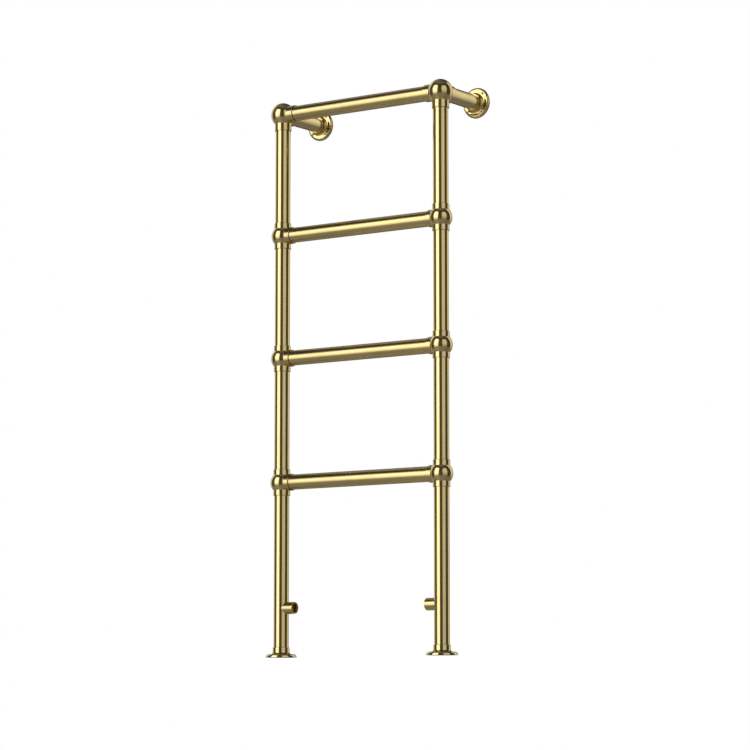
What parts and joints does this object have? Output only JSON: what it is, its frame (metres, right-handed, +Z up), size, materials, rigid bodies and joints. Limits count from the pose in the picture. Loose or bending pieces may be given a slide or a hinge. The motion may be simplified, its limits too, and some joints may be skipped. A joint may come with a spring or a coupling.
{
  "type": "heated towel rail",
  "caption": "Floor-standing plumbed towel rail in satin brass: round tubes joined by ball fittings, stays to round wall flanges, round foot flanges and threaded inlets near the floor.",
  "frame": {"origin": "on the floor, in the middle of the outline seen from above", "axes": "+X along the rails to the right seen from the room, +Y towards the wall, +Z up"},
  "size_m": [0.557, 0.2025, 1.4095],
  "materials": {
    "tube_brass": "satin, brushed along the tube",
    "fitting_brass": "satin, turned",
    "flange_brass": "fine satin, near polished",
    "plain_brass": "machined",
    "screw_steel": "plain stainless",
    "seal_rubber": "matte"
  },
  "bodies": {
    "rail_frame": {"left_lower_tee_ball": "fitting_brass", "left_lower_post_tube": "tube_brass", "left_middle_tee_ball": "fitting_brass", "left_middle_post_tube": "tube_brass", "left_upper_tee_ball": "fitting_brass", "left_upper_post_tube": "tube_brass", "left_top_corner_ball": "fitting_brass", "left_leg_tube": "tube_brass", "left_wall_stay": "tube_brass", "left_leg_plug": "plain_brass", "left_inlet": "fitting_brass", "left_foot_flange": "flange_brass", "right_lower_tee_ball": "fitting_brass", "right_lower_post_tube": "tube_brass", "right_middle_tee_ball": "fitting_brass", "right_middle_post_tube": "tube_brass", "right_upper_tee_ball": "fitting_brass", "right_upper_post_tube": "tube_brass", "right_top_corner_ball": "fitting_brass", "right_leg_tube": "tube_brass", "right_wall_stay": "tube_brass", "right_leg_plug": "plain_brass", "right_inlet": "fitting_brass", "right_foot_flange": "flange_brass", "foot_grub_screws": "screw_steel", "lower_rail": "tube_brass", "middle_rail": "tube_brass", "upper_rail": "tube_brass", "top_rail": "tube_brass", "vent_boss": "fitting_brass", "vent_seal": "seal_rubber", "vent_plug": "plain_brass"},
    "left_flange_set": {"left_wall_flange": "flange_brass", "left_wall_grub_screw": "screw_steel"},
    "right_flange_set": {"right_wall_flange": "flange_brass", "right_wall_grub_screw": "screw_steel"},
    "bleed_valve": {"bleed_screw": "plain_brass"}
  },
  "joints": [
    {"name": "left_flange_slide", "type": "slide", "parent": "rail_frame", "child": "left_flange_set", "axis": [0, 1, 0], "range_m": [-0.0055, 0.006]},
    {"name": "right_flange_slide", "type": "slide", "parent": "rail_frame", "child": "right_flange_set", "axis": [0, 1, 0], "range_m": [-0.0055, 0.006]},
    {"name": "bleed_screw_turn", "type": "hinge", "parent": "rail_frame", "child": "bleed_valve", "pos_m": [-0.17, -0.03275, 1.371], "axis": [0, 1, 0], "range_deg": [0, 270]}
  ]
}
